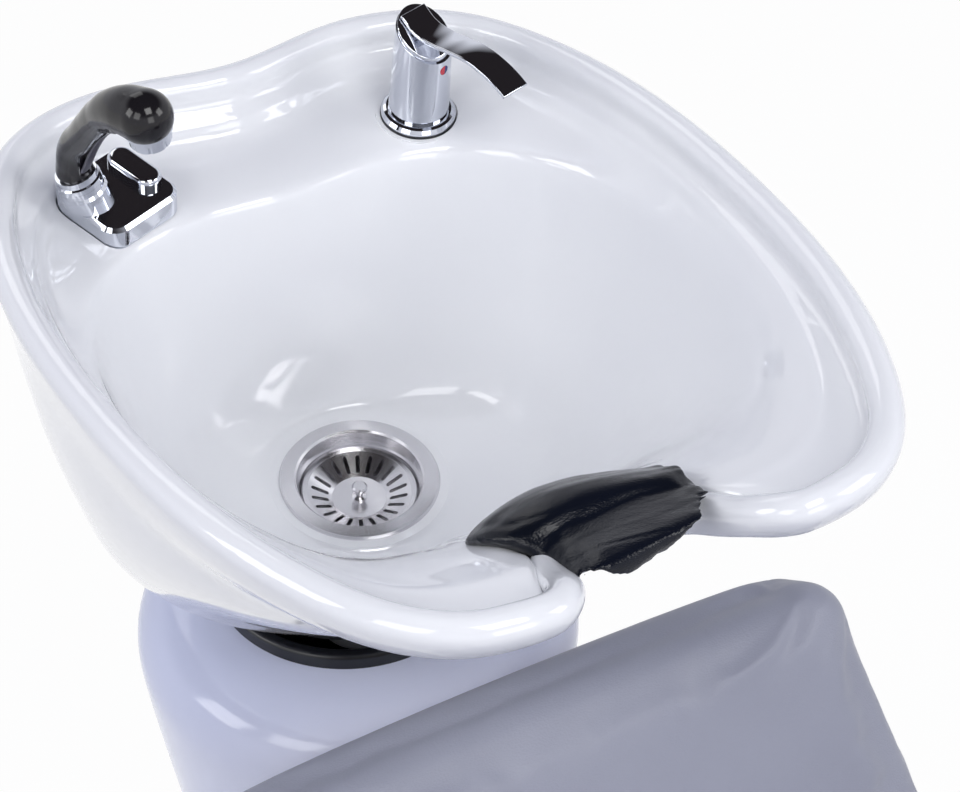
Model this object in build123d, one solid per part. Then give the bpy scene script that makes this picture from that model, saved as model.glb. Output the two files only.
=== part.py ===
from build123d import *
import os
from math import cos, hypot, pi, radians, sin, tan

os.makedirs("parts", exist_ok=True)

# A salon backwash unit: a tilting glazed basin on a moulded pedestal, with a chair in front.
# Millimetres. X runs across the unit, the chair faces -Y, Z is up.
# The origin is on the floor, on the centre line, straight below the middle of the drain.

# Whole unit
drain_height = 720.0            # middle of the drain flange above the floor
basin_pitch = 2.9               # the rim stands this many degrees back of level
fit_gap = 0.3                   # between separate pieces that nearly touch
run_gap = 0.05                  # radial, between a shaft and its hole
cut_over = 5.0                  # how far a cutting tool runs past what it cuts

# Basin: the rim outline, in the basin's own frame, with its zero in the middle of the drain
rim_half_width = 226.0
rim_front = -412.0
rim_back = 179.0
rim_height = 245.0
rim_roll = 11.0                 # radius of the rolled edge
notch_depth = 43.0              # how far the neck notch dips below the rim
ceramic_wall = 11.0

# Rim outline from the middle of the notch, round one horn and side, to the middle of the back:
# share of the half width, share of the way from front to back, share of the notch depth
rim_shares = [
    (0.0, 0.127, 1.0), (0.111, 0.125, 0.98), (0.199, 0.112, 0.86), (0.248, 0.069, 0.56),
    (0.279, 0.030, 0.23), (0.345, 0.003, 0.05), (0.429, 0.0, 0.0), (0.527, 0.008, 0.0),
    (0.628, 0.030, 0.0), (0.810, 0.130, 0.0), (0.936, 0.280, 0.0), (0.998, 0.468, 0.0),
    (0.990, 0.680, 0.0), (0.897, 0.840, 0.0), (0.693, 0.964, 0.0), (0.376, 1.0, 0.0), (0.0, 0.976, 0.0),
]
# Where the same points stand on a round outline, as shares of a half turn from the front
turn_shares = [
    0.0, 0.05, 0.1, 0.14, 0.17, 0.2, 0.23, 0.26, 0.3, 0.39, 0.48, 0.57, 0.66, 0.75, 0.84, 0.92, 1.0,
]

# Bowl, from the drain upwards, as shares of the rim's half width, front and back, of its height at
# the front and at the back (of the drop to the base where negative), of the notch's depth, and
# how round the outline is (0 follows the rim, 1 is an ellipse)
bowl_shares = [
    (0.3805, 0.2040, 0.4000, -0.0238, 0.0612, 0.0, 1.0),
    (0.5487, 0.3060, 0.4150, 0.0571, 0.1551, 0.0, 0.9),
    (0.7168, 0.4420, 0.4250, 0.2776, 0.4245, 0.1, 0.6),
    (0.8230, 0.5950, 0.4420, 0.5837, 0.7347, 0.5, 0.32),
    (0.8673, 0.7160, 0.5000, 0.7898, 0.8340, 0.87, 0.2),
    (0.9000, 0.8155, 0.8000, 0.9000, 0.8720, 1.0, 0.08),
    (0.9250, 0.9005, 0.8800, 0.9550, 0.9250, 1.0, 0.04),
]
# Outside of the basin, from under the rim downwards, in the same terms
shell_shares = [
    (1.0133, 0.8860, 0.9944, 0.8245, 0.7347, 0.6667, 0.08),
    (0.9779, 0.7000, 0.9721, 0.5224, 0.4490, 0.1667, 0.35),
    (0.8673, 0.4370, 0.9162, 0.1469, 0.0980, 0.0, 0.8),
    (0.6726, 0.2480, 0.8492, -0.5238, -0.5238, 0.0, 1.0),
    (0.4500, 0.1800, 0.7100, -0.9286, -0.9286, 0.0, 1.0),
]
# Angles round the rolled edge that its outlines stand at: 90 is its top
rim_roll_angles = [-25, 20, 60, 90, 120, 160, 205]
floor_ring = 64.0               # edge of the flat floor round the drain
base_radius = 92.0              # flat ring under the basin
base_drop = 84.0                # from the drain down to that ring
base_ring_width = 20.0
floor_drop = 21.0               # from the drain down to the ceiling of the hollow underneath
hollow_half_width = 165.0
hollow_front = 40.0
hollow_top = 186.0              # ceiling of the hollow under the deck

# Deck behind the bowl, which carries the mixer and the handset holder
deck_x = 114.4
deck_y = 108.6
deck_height = 209.9
deck_tilt = 11.6
deck_pad_radius = 30.0
deck_seat_radius = 28.0         # spot face for the mixer
pocket_radius = 18.0            # room for a washer and nut under the deck
pocket_depth = 32.0
fitting_turn = 20.0             # both fittings are turned this much towards the sitter's left
shank_radius = 10.0
shank_hole = 14.0

# Waste
drain_tilt = 8.5
flange_radius = 57.5
flange_rise = 2.6
flange_mouth = 45.0
basket_seat_radius = 41.5
basket_seat_depth = 12.0
cup_radius = 37.0
cup_depth = 46.0
steel_wall = 1.5
tail_radius = 18.0
tail_length = 44.0
waste_hole = 46.0
waste_floor = 16.0              # ceramic left under the flange
gasket_thick = 3.0
lock_nut_radius = 56.0
lock_nut_thick = 9.0
trap_radius = 29.0
trap_height = 92.0
trap_cap_height = 14.0
trap_outlet_radius = 16.0
trap_outlet_length = 16.0

# Strainer basket
basket_rim_radius = 41.0
basket_rim_width = 3.5
basket_disc_radius = 19.5
basket_drop = 8.0
basket_wall = 1.2
basket_slots = 22
slot_width = 3.0
slot_end = 2.5
knob_radius = 5.6
knob_height = 12.0
knob_head = 4.0
knob_stem_radius = 2.6

# Mixer
mixer_gasket_thick = 2.0
mixer_flange_radius = 26.7
mixer_flange_height = 5.0
mixer_groove = 1.6
mixer_foot_radius = 21.5
mixer_top_radius = 19.5
mixer_back_height = 84.0
mixer_front_height = 60.0
cartridge_radius = 11.0
cartridge_height = 14.0
stem_radius = 4.0
stem_rise = 3.0
cap_radius = 18.6
cap_thick = 6.0
cap_wall = 2.5
lever_width = 22.0
lever_thick = 3.6
lever_reach = 84.5
lever_back_reach = 13.0
lever_back_height = 89.0
lever_dip_height = 78.5
lever_crest_height = 84.5
lever_end_height = 74.0
dot_radius = 3.6
dot_thick = 1.0
dot_height = 53.0
shank_length = 58.0
washer_radius = 15.5
washer_thick = 3.0
nut_radius = 15.0
nut_thick = 8.0
inlet_radius = 4.5
inlet_length = 42.0
inlet_gap = 11.0

# Handset and its holder
plate_side = 64.0
plate_thick = 17.0
plate_corner = 13.0
plate_edge = 2.5
socket_x = -20.0                # from the plate's middle to the socket
socket_y = 6.0
socket_radius = 16.5
socket_height = 16.0
socket_sink = 8.0
socket_lean = 14.0              # the socket leans back this much
socket_side_lean = 10.0         # and this much sideways
boss_x = 20.0
boss_y = 4.0
boss_length = 44.0
boss_width = 19.0
boss_height = 8.0
ferrule_radius = 11.0
ferrule_depth = 14.0
ferrule_collar_radius = 15.5
ferrule_collar_height = 9.0
handle_foot_radius = 13.5
handle_reach = 110.0
handle_height = 101.0
# The handle's middle line as shares of its reach, its height and its foot's radius
handle_shares = [
    (0.05, 0.24, 0.86), (0.285, 0.51, 0.70), (0.56, 0.79, 0.72), (0.83, 0.96, 0.84), (1.0, 1.0, 0.93),
]
head_radius = 17.0
head_reach = 112.0
head_height = 100.0
head_tip = -12.0                # the head faces down and this many degrees backwards
head_cut = 0.45                 # share of the head's radius left under its middle
nozzles_inner = 6
nozzles_outer = 11
nozzle_inner_share = 0.35
nozzle_outer_share = 0.7
spray_radius = 13.5
spray_height = 11.5
spray_wall = 2.0
spray_face_thick = 3.0
inlay_thick = 1.6
inlay_width = 10.0

# Neck rest
rest_half_width = 53.3
rest_length = 72.0
rest_height = 56.0
rest_y = -317.2
rest_z = 212.2
rest_slope = 12.0               # its back leans this many degrees down into the bowl
# The neck rest's sections from its middle outwards: share of its half width, of its length and of
# its height, and how far the section is raised as a share of its height
rest_shares = [(0.0, 1.0, 1.0, 0.0), (0.5, 0.98, 0.92, 0.0), (0.85, 0.93, 0.7, 0.03), (1.0, 0.84, 0.5, 0.06)]

# Basin bracket and tilt hinge
hinge_y = 25.0
hinge_z = 598.0
bracket_thick = 5.0
skirt_thick = 3.0
skirt_height = 16.0
skirt_radius = 85.0
ear_spacing = 116.0
ear_half_width = 20.0
ear_thick = 5.0
ear_round = 14.0
pin_radius = 6.0
pin_head_radius = 11.0
pin_head_thick = 5.0
washer_gap = 1.4
bolt_radius = 3.0
bolt_head_radius = 5.5
bolt_head_height = 4.0
bolt_grip = 16.0
bracket_bolts = 4

# Pedestal
pedestal_y = 12.0
pedestal_top = 608.0
pedestal_radius = 165.0         # widest, just under the shoulder
pedestal_high_z = 548.0
pedestal_mid_radius = 143.0
pedestal_mid_z = 383.0
pedestal_waist = 124.0
pedestal_waist_z = 190.0
pedestal_foot = 136.0
pedestal_wall = 6.0
pedestal_mouth = 91.0
door_half_width = 74.0
door_low = 90.0
door_high = 400.0
door_gap = 1.2
door_lip = 14.0
door_lip_thick = 5.0
screw_radius = 2.5
screw_head_radius = 5.5
screw_head_height = 2.6
screw_length = 14.0
screw_inset = 10.0
collar_outer = 101.0
collar_height = 12.0
collar_edge = 3.0

# Column inside the pedestal
column_half = 30.0
column_wall = 4.0
column_y = 90.0
column_top = 556.0
top_plate_thick = 8.0
top_plate_half = 80.0
top_plate_front = -12.0
trap_clear = 44.0
column_foot_half = 60.0
column_foot_thick = 8.0

# Floor frame
pad_radius = 22.0
pad_thick = 6.0
pad_inset = 46.0
floor_plate_thick = 8.0
floor_plate_half_width = 175.0
floor_plate_back = 195.0
floor_plate_front = -720.0
floor_plate_corner = 40.0
anchor_radius = 6.0
anchor_inset = 24.0

# Chair
seat_height = 490.0
seat_thick = 92.0
seat_half_width = 280.0
seat_depth = 480.0
seat_corner = 55.0
seat_back_gap = 12.0            # between the seat and the foot of the back cushion
board_thick = 18.0
board_inset = 26.0
back_recline = 60.0             # degrees from level
back_top_y = -250.0
back_top_z = 734.0
back_half_top = 252.0
back_flare = 11.0               # degrees that each side spreads downwards
back_length = 290.0
back_thick = 78.0
back_corner = 38.0
back_arch = 8.0                 # how far the top edge rises in its middle
cushion_crown = 10.0
cushion_draw = 8.0              # how far the sides are drawn in at the back
cushion_round = 24.0            # how far the soft edge rolls in at the front
rail_half = 15.0                # half the width of the square seat tubes
rail_wall = 2.5
rail_x = 150.0
rail_front_inset = 30.0
rail_back_y = -290.0
cross_front_y = -740.0
cross_back_y = -530.0
post_half = 60.0
post_wall = 4.0
post_y = -635.0
post_cap_half = 125.0
post_cap_thick = 8.0
back_bar_half_width = 20.0
back_bar_thick = 8.0
back_bar_top = 60.0
arm_gap = 28.0                  # between the seat's side and the arm
arm_bar_width = 40.0
arm_bar_thick = 12.0
arm_height = 655.0
arm_front_y = -810.0
arm_back_y = -460.0
arm_corner = 60.0
arm_pad_half_width = 28.0
arm_pad_thick = 32.0
arm_pad_length = 290.0
chair_bolt_radius = 4.0
chair_bolt_head_radius = 8.0
chair_bolt_head_height = 4.0

# Places worked out from the sizes above
basin_place = Pos(0, 0, drain_height) * Rot(-basin_pitch, 0, 0)
drain_place = Rot(drain_tilt, 0, 0)
pitch_cos = cos(radians(basin_pitch))
pitch_sin = sin(radians(basin_pitch))
base_centre_y = (hinge_y + base_drop * pitch_sin) / pitch_cos
basin_hinge_y = hinge_y * pitch_cos - (hinge_z - drain_height) * pitch_sin
basin_hinge_z = hinge_y * pitch_sin + (hinge_z - drain_height) * pitch_cos
floor_top = pad_thick + floor_plate_thick


def sized(shares):
    """Outlines in millimetres from a table of shares."""
    rows = []
    for across, front, back, front_z, back_z, dip, round_share in shares:
        heights = [z * (rim_height if z > 0 else base_drop) for z in (front_z, back_z)]
        rows.append((
            across * rim_half_width, front * rim_front, back * rim_back, *heights,
            dip * notch_depth, round_share,
        ))
    return rows


bowl_rings = sized(bowl_shares)
shell_rings = sized(shell_shares)


def deck_plane(side):
    """The deck's frame at one fitting: side 1 is the mixer's, side -1 the holder's."""
    return Pos(side * deck_x, deck_y, deck_height) * Rot(deck_tilt, 0, 0) * Rot(0, 0, fitting_turn)


mixer_place = deck_plane(1)
holder_place = deck_plane(-1)


def save(shape, node):
    """Write one sub-part to its own file."""
    export_step(shape, f"parts/{node}.step")
    return shape


def disc(radius, low, high):
    """A plain round piece between two heights."""
    return Pos(0, 0, low) * Cylinder(radius, high - low, align=(Align.CENTER, Align.CENTER, Align.MIN))


def tube(outer, inner, low, high):
    """A plain ring between two heights."""
    return disc(outer, low, high) - disc(inner, low - cut_over, high + cut_over)


def block(x0, x1, y0, y1, z0, z1):
    """A box given by its limits."""
    return Pos((x0 + x1) / 2, (y0 + y1) / 2, (z0 + z1) / 2) * Box(x1 - x0, y1 - y0, z1 - z0)


def turned(points):
    """A solid of revolution from an outline of radius and height."""
    outline = Polyline(*[(radius, 0, height) for radius, height in points], close=True)
    return revolve(make_face(outline), Axis.Z)


def smooth_loft(wires):
    """A solid through a run of closed outlines."""
    return Solid.make_loft(wires, False)


# Basin surface


def ring_points(half_width, front, back, front_z, back_z, dip, round_share, offset=0.0):
    """Half of one outline of the basin, from the middle of the front to the middle of the back."""
    points = []
    for (across, along, drop), turn in zip(rim_shares, turn_shares):
        across = across + (sin(pi * turn) - across) * round_share
        along = along + ((1 - cos(pi * turn)) / 2 - along) * round_share
        points.append((
            across * half_width,
            front + (back - front) * along,
            front_z + (back_z - front_z) * along - dip * drop,
        ))
    if offset:
        points = offset_points(points, offset)
    return points


def offset_points(points, offset):
    """The same half outline, moved outwards in plan."""
    moved = []
    for index, (x, y, z) in enumerate(points):
        before = points[index - 1] if index else (-points[1][0], points[1][1], z)
        last = index == len(points) - 1
        after = (-points[-2][0], points[-2][1], z) if last else points[index + 1]
        run_x = after[0] - before[0]
        run_y = after[1] - before[1]
        run = hypot(run_x, run_y)
        moved.append((x + offset * run_y / run, y - offset * run_x / run, z))
    return moved


def ring_wire(points):
    """A closed smooth outline from one half and its mirror image."""
    mirrored = [(-x, y, z) for x, y, z in reversed(points[1:-1])]
    return Wire([Edge.make_spline([Vector(*point) for point in points + mirrored], periodic=True)])


def tilted_circle(radius):
    """A round outline in the drain's tilted plane."""
    points = []
    for turn in turn_shares:
        x = radius * sin(pi * turn)
        y = -radius * cos(pi * turn)
        points.append((x, y * cos(radians(drain_tilt)), y * sin(radians(drain_tilt))))
    return points


def rim_ring(angle):
    """The outline of the rolled edge at one angle: 0 faces the bowl, 90 is the top, 180 is outside."""
    height = rim_height + rim_roll * sin(radians(angle))
    offset = -rim_roll * cos(radians(angle))
    return ring_points(rim_half_width, rim_front, rim_back, height, height, notch_depth, 0.0, offset)


def filled(rings):
    """The same rings with one more on the smooth curve between each two."""
    padded = [rings[0]] + rings + [rings[-1]]
    rows = [rings[0]]
    for before, low, high, after in zip(padded, padded[1:], padded[2:], padded[3:]):
        rows.append([(9 * (b + c) - a - d) / 16 for a, b, c, d in zip(before, low, high, after)])
        rows.append(high)
    return rows


def basin_skin():
    """The basin as one solid: up the bowl, over the rolled edge and down the outside."""
    base = (base_radius, base_centre_y - base_radius, base_centre_y + base_radius)
    base_ring = (*base, -base_drop, -base_drop, 0.0, 1.0)
    outlines = [tilted_circle(floor_ring)]
    outlines += [ring_points(*ring) for ring in filled(bowl_rings)]
    outlines += [rim_ring(angle) for angle in rim_roll_angles]
    outlines += [ring_points(*ring) for ring in filled(shell_rings + [base_ring])]
    return smooth_loft([ring_wire(points) for points in outlines])



def basin_core():
    """The hollow under the deck, between the bowl and the outside wall, open at the bottom."""
    wall = ceramic_wall
    high = shell_rings[0]
    low = shell_rings[-1]
    outer = [(high[0] - wall, high[1] + wall, high[2] - wall, hollow_top, hollow_top, 0.0, high[6])]
    for half, front, back, front_z, back_z, dip, round_share in shell_rings[1:-1]:
        outer.append((half - wall, front + wall, back - wall, front_z, back_z, dip, round_share))
    base = base_radius - base_ring_width
    bottom = -base_drop - cut_over
    outer.append((base, low[1] + base_ring_width, low[2] - base_ring_width, bottom, bottom, 0.0, 1.0))
    floor = -floor_drop
    inner = [(floor_ring + wall, -floor_ring - wall, floor_ring + wall, floor, floor, 0.0, 1.0)]
    for half, front, back, front_z, back_z, dip, round_share in bowl_rings[1:-1]:
        heights = (front_z - wall, back_z - wall)
        inner.append((half + wall, front - wall, back + wall, *heights, dip, round_share))
    top = rim_height
    inner.append((bowl_rings[-1][0], bowl_rings[-1][1], bowl_rings[-1][2], top, top, 0.0, 0.0))
    room = smooth_loft([ring_wire(ring_points(*ring)) for ring in outer])
    bowl = smooth_loft([ring_wire(ring_points(*ring)) for ring in inner])
    limit = block(-hollow_half_width, hollow_half_width, hollow_front, rim_back, bottom, hollow_top)
    return (room - bowl) & limit


def basin_body():
    """The glazed basin with its hollow underside, its drain and its fixing holes."""
    body = basin_skin()
    under = disc(base_radius - base_ring_width, -base_drop - cut_over, -floor_drop)
    body -= Pos(0, base_centre_y, 0) * under
    body -= basin_core()
    plate = plate_side + 4 * fit_gap
    plate_seat = extrude(RectangleRounded(plate, plate, plate_corner), 2 * ceramic_wall)
    for place, seat in ((mixer_place, disc(deck_seat_radius, 0, 2 * ceramic_wall)), (holder_place, plate_seat)):
        body += place * disc(deck_pad_radius, -2 * ceramic_wall, 0)
        body -= place * seat
        body -= place * disc(shank_hole, -3 * ceramic_wall, cut_over)
        body -= place * disc(pocket_radius, -pocket_depth, -ceramic_wall)
    body -= drain_place * disc(waste_hole, -base_drop / 2, cut_over)
    body -= drain_place * disc(lock_nut_radius + ceramic_wall * 0.4, -base_drop / 2, -waste_floor)
    for place in bracket_bolt_places():
        body -= place * disc(bolt_radius + run_gap, -cut_over, bolt_grip)
    return body


def bracket_bolt_places():
    """Where the bolts stand that hold the bracket under the basin."""
    circle = skirt_radius - skirt_thick - bolt_head_radius - fit_gap
    centre = Pos(0, base_centre_y, -base_drop)
    return [centre * location for location in PolarLocations(circle, bracket_bolts, 45)]

basin = basin_body()
print("basin", basin.volume / 1e6, "litres, valid", basin.is_valid, "solids", len(basin.solids()))
save(basin_place * basin, "basin")


# Waste and strainer, in the drain's frame


def waste_flange():
    """The pressed steel strainer body: rolled flange, basket seat, cup and outlet."""
    wall = steel_wall
    bottom = -cup_depth
    tail = bottom - tail_length
    outside = [
        (flange_radius, 0), (flange_radius, wall / 2), (flange_radius - wall, flange_rise),
        (flange_mouth + wall, flange_rise), (flange_mouth, flange_rise - wall),
        (basket_seat_radius + wall / 2, -basket_seat_depth + wall), (basket_seat_radius, -basket_seat_depth),
        (cup_radius, -basket_seat_depth - wall), (cup_radius - 2 * wall, bottom + wall),
        (tail_radius - wall, bottom), (tail_radius - wall, tail), (tail_radius, tail),
        (tail_radius, bottom - wall), (cup_radius - wall, bottom),
        (cup_radius + wall, -basket_seat_depth - 2 * wall),
        (basket_seat_radius + wall, -basket_seat_depth - wall), (flange_mouth, 0),
    ]
    return turned(outside)


def waste_gasket():
    """The rubber seal between the ceramic floor and the lock nut."""
    top = -waste_floor
    return tube(lock_nut_radius, waste_hole + gasket_thick, top - gasket_thick, top)


def waste_lock_nut():
    """The castellated nut that clamps the strainer body from below."""
    top = -waste_floor - gasket_thick
    low = top - lock_nut_thick
    nut = tube(lock_nut_radius, cup_radius + 2 * steel_wall, low, top)
    notch = Pos(lock_nut_radius, 0, low) * Box(lock_nut_thick, lock_nut_thick, lock_nut_thick)
    return nut - [Rot(0, 0, turn * 60) * notch for turn in range(6)]


def waste_trap():
    """The bottle trap that hangs on the strainer's outlet, with its screw cup and side outlet."""
    top = -cup_depth - tail_length / 2
    low = top - trap_height
    body = disc(trap_radius - steel_wall, low + trap_cap_height, top)
    body = fillet(body.edges().group_by(Axis.Z)[-1], trap_cap_height / 3)
    cap = disc(trap_radius, low, low + trap_cap_height)
    cap = fillet(cap.edges().group_by(Axis.Z)[0], trap_cap_height / 3)
    outlet_z = top - trap_height / 2
    start = Pos(0, 0, outlet_z) * Rot(90, 0, 0)
    outlet = start * disc(trap_outlet_radius, 0, trap_radius + trap_outlet_length)
    far = trap_radius + 2 * trap_outlet_length
    bore = start * disc(trap_outlet_radius - 2 * steel_wall, trap_radius, far)
    return body + cap + outlet - bore - disc(tail_radius, -cup_depth - tail_length, top + cut_over)


def strainer_basket():
    """The lift-out basket: a rim, a sloping slotted ring and a flat middle."""
    wall = basket_wall
    rim = basket_rim_radius - fit_gap
    seat = -basket_seat_depth + fit_gap
    inner = rim - basket_rim_width
    low = seat - basket_drop
    disc_edge = basket_disc_radius
    shape = turned([
        (rim, seat), (rim, seat + wall), (inner, seat + wall), (disc_edge, low + wall), (0, low + wall),
        (0, low), (disc_edge, low), (inner, seat),
    ])
    run = inner - disc_edge - 2 * slot_end
    middle = (inner + disc_edge) / 2
    slot = Pos(middle, 0, seat) * extrude(SlotOverall(run, slot_width), 2 * basket_drop, both=True)
    slots = [Rot(0, 0, turn * 360 / basket_slots) * slot for turn in range(basket_slots)]
    return shape - slots


def basket_knob():
    """The two-step pull in the middle of the basket."""
    low = -basket_seat_depth + fit_gap - basket_drop + basket_wall
    stem = knob_stem_radius
    return turned([
        (0, low), (stem * 2, low), (stem * 2, low + stem / 2), (stem, low + stem),
        (stem, low + knob_height - knob_head), (knob_radius, low + knob_height - knob_head + stem / 2),
        (knob_radius, low + knob_height - stem / 2), (knob_radius - stem / 2, low + knob_height),
        (0, low + knob_height),
    ])


# Mixer, in the deck's frame


def mixer_gasket():
    """The seal under the mixer's foot."""
    return tube(mixer_flange_radius + fit_gap, shank_radius + run_gap, 0, mixer_gasket_thick)


def mixer_body():
    """The cast body: a flared foot, a groove and a barrel cut off slantwise at the top."""
    low = mixer_gasket_thick
    foot = mixer_flange_height
    neck = mixer_foot_radius - mixer_groove / 2
    barrel = turned([
        (0, low), (mixer_flange_radius, low), (mixer_flange_radius, low + foot / 3),
        (mixer_flange_radius - foot / 3, low + foot * 0.8), (mixer_foot_radius + mixer_groove, low + foot),
        (neck, low + foot), (neck, low + foot + mixer_groove),
        (mixer_foot_radius, low + foot + 2 * mixer_groove), (mixer_top_radius, mixer_back_height),
        (0, mixer_back_height),
    ])
    barrel -= slant_above(0)
    barrel -= slant_plane(0).location * disc(cartridge_radius + run_gap, -cartridge_height, cut_over)
    facing = Pos(0, 0, dot_height) * Rot(90, 0, 0)
    seat = body_radius_at(dot_height) - dot_thick
    return barrel - facing * disc(dot_radius + run_gap, seat, 2 * mixer_flange_radius)


def body_radius_at(height):
    """The barrel's radius at one height."""
    low = mixer_gasket_thick + mixer_flange_height + 2 * mixer_groove
    share = (height - low) / (mixer_back_height - low)
    return mixer_foot_radius + (mixer_top_radius - mixer_foot_radius) * share


def slant_plane(rise):
    """A frame on the slanting top of the mixer's body, moved up along its normal."""
    slope = (mixer_back_height - mixer_front_height) / (2 * mixer_foot_radius)
    middle = (mixer_back_height + mixer_front_height) / 2
    plane = Plane(origin=(0, 0, middle), x_dir=(1, 0, 0), z_dir=(0, -slope, 1))
    return plane.offset(rise)


def slant_above(rise):
    """Everything above the slanting top, moved up along its normal."""
    return slant_plane(rise).location * disc(3 * mixer_flange_radius, 0, 2 * mixer_back_height)


def mixer_cartridge():
    """The ceramic-disc cartridge in the body, with the stem that the lever turns and lifts."""
    core = disc(cartridge_radius, fit_gap - cartridge_height, -fit_gap)
    return slant_plane(0).location * (core + disc(stem_radius, -fit_gap, stem_rise))


def lever_profile():
    """The lever's wavy side view: back end, dip over the body, crest and drooping end."""
    points = [
        (lever_back_reach, lever_back_height),
        (-lever_reach / 5, lever_dip_height),
        (-lever_reach * 0.62, lever_crest_height),
        (-lever_reach, lever_end_height),
    ]
    line = Spline(*[(0, y, z) for y, z in points])
    low = Spline(*[(0, y, z - lever_thick) for y, z in points])
    ends = [Line(line @ 0, low @ 0), Line(line @ 1, low @ 1)]
    return make_face(Curve() + [line, low] + ends)


def mixer_lever():
    """The lever: a wavy blade standing on a slanting cap that covers the cartridge."""
    blade = extrude(lever_profile(), lever_width / 2, both=True, dir=(1, 0, 0))
    cap = disc(cap_radius, mixer_front_height / 2, mixer_back_height + cap_thick * 3)
    cap -= slant_above(fit_gap + cap_thick)
    cap -= slant_below(fit_gap)
    neck = block(-lever_width / 2 + lever_thick / 2, lever_width / 2 - lever_thick / 2,
                 -lever_reach / 6, lever_back_reach - lever_thick, mixer_front_height, lever_back_height)
    neck -= under_blade()
    neck -= slant_below(fit_gap + cap_thick / 2)
    hollow = disc(cartridge_radius + cap_wall, -fit_gap, cap_thick - cap_wall + fit_gap)
    return blade + cap + neck - slant_plane(0).location * hollow


def slant_below(rise):
    """Everything below the slanting top, moved up along its normal."""
    return slant_plane(rise).location * disc(3 * mixer_flange_radius, -2 * mixer_back_height, 0)


def under_blade():
    """The space over the lever's underside, which trims the neck that carries the blade."""
    points = [
        (lever_back_reach, lever_back_height - lever_thick / 2),
        (-lever_reach / 5, lever_dip_height - lever_thick / 2),
        (-lever_reach * 0.62, lever_crest_height - lever_thick / 2),
    ]
    line = Spline(*[(0, y, z) for y, z in points])
    top = 2 * mixer_back_height
    roof = Polyline(line @ 1, (0, points[-1][0], top), (0, points[0][0], top), line @ 0)
    return extrude(make_face(Curve() + [line, roof]), lever_width, both=True, dir=(1, 0, 0))


def mixer_dot():
    """The hot and cold mark let into the front of the body."""
    facing = Pos(0, 0, dot_height) * Rot(90, 0, 0)
    outside = body_radius_at(dot_height)
    return facing * disc(dot_radius, outside - dot_thick, outside)


def deck_shank():
    """A threaded stud from a fitting down through the deck."""
    return disc(shank_radius, -shank_length, 0)


def shank_nut():
    """The hexagonal nut under the deck."""
    top = -ceramic_wall - washer_thick
    nut = Pos(0, 0, top - nut_thick) * extrude(RegularPolygon(nut_radius, 6), nut_thick)
    return nut - disc(shank_radius + run_gap, -shank_length, 0)


def shank_washer():
    """The rubber washer between the deck and the nut."""
    return tube(washer_radius, shank_radius + run_gap, -ceramic_wall - washer_thick, -ceramic_wall)


def mixer_inlets():
    """The hot and cold inlet tails below the stud, each with its union."""
    tails = []
    for side in (-1, 1):
        low = -shank_length - inlet_length
        pipe = disc(inlet_radius, low, -shank_length)
        union = Pos(0, 0, low) * extrude(RegularPolygon(inlet_radius * 1.6, 6), inlet_length / 5)
        tails.append(Pos(side * inlet_gap / 2, 0, 0) * (pipe + union))
    return Compound(tails)


# Handset and holder, in the deck's frame


def holder_plate():
    """The square plate with rounded corners, and the oval boss on it."""
    plate = extrude(RectangleRounded(plate_side, plate_side, plate_corner), plate_thick)
    plate = chamfer(plate.edges().group_by(Axis.Z)[-1], plate_edge)
    boss = Pos(boss_x, boss_y, plate_thick) * extrude(SlotOverall(boss_length, boss_width, 90), boss_height)
    boss = fillet(boss.edges().group_by(Axis.Z)[-1], boss_height / 2)
    return plate, boss


socket_place = Pos(socket_x, socket_y, plate_thick) * Rot(-socket_lean, -socket_side_lean, 0)


def holder_socket():
    """The leaning collar that the handset's foot drops into."""
    low = -socket_sink
    mouth = socket_radius - plate_edge / 2
    ring = turned([
        (ferrule_radius + fit_gap, low), (socket_radius, low), (socket_radius, socket_height * 0.6),
        (mouth, socket_height * 0.75), (mouth, socket_height), (ferrule_radius + fit_gap, socket_height),
    ])
    side = plate_side
    return socket_place * ring - block(-side, side, -side, side, -side, plate_thick)


def holder_bore():
    """The room that the socket and the handset's foot need in the plate."""
    return socket_place * disc(ferrule_radius + fit_gap, socket_height - ferrule_depth - fit_gap, cut_over)


handset_place = socket_place * Pos(0, 0, socket_height + fit_gap)


def handset_ferrule():
    """The chrome foot of the handset: a spigot in the socket and a collar above it."""
    collar = ferrule_collar_height
    foot = -ferrule_depth
    slim = ferrule_collar_radius - plate_edge / 2
    return handset_place * turned([
        (0, foot), (ferrule_radius - plate_edge / 2, foot), (ferrule_radius, foot + plate_edge),
        (ferrule_radius, 0), (ferrule_collar_radius, 0), (ferrule_collar_radius, collar * 0.4),
        (slim, collar * 0.5), (slim, collar), (0, collar),
    ])


def handle_stations():
    """The handset's middle line: reach forwards, height and radius from the ferrule to the head."""
    stations = [(0.0, ferrule_collar_height, handle_foot_radius)]
    for reach, height, radius in handle_shares:
        stations.append((reach * handle_reach, height * handle_height, radius * handle_foot_radius))
    return stations


def handset_body():
    """The curved handle and the round head of the hand shower."""
    stations = handle_stations()
    faces = []
    for index, (reach, height, radius) in enumerate(stations):
        before = stations[max(index - 1, 0)]
        after = stations[min(index + 1, len(stations) - 1)]
        along = (0, before[0] - after[0], after[1] - before[1]) if index else (0, 0, 1)
        plane = Plane(origin=(0, -reach, height), x_dir=(1, 0, 0), z_dir=along)
        faces.append(plane * Circle(radius))
    handle = loft(faces)
    head = Pos(0, -head_reach, head_height) * Sphere(head_radius)
    return handset_place * (handle + head - spray_mouth) - handset_inlay()


spray_place = Pos(0, -head_reach, head_height) * Rot(-head_tip, 0, 0)
spray_mouth = spray_place * disc(2 * head_radius, -2 * head_radius, -head_radius * head_cut)


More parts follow.
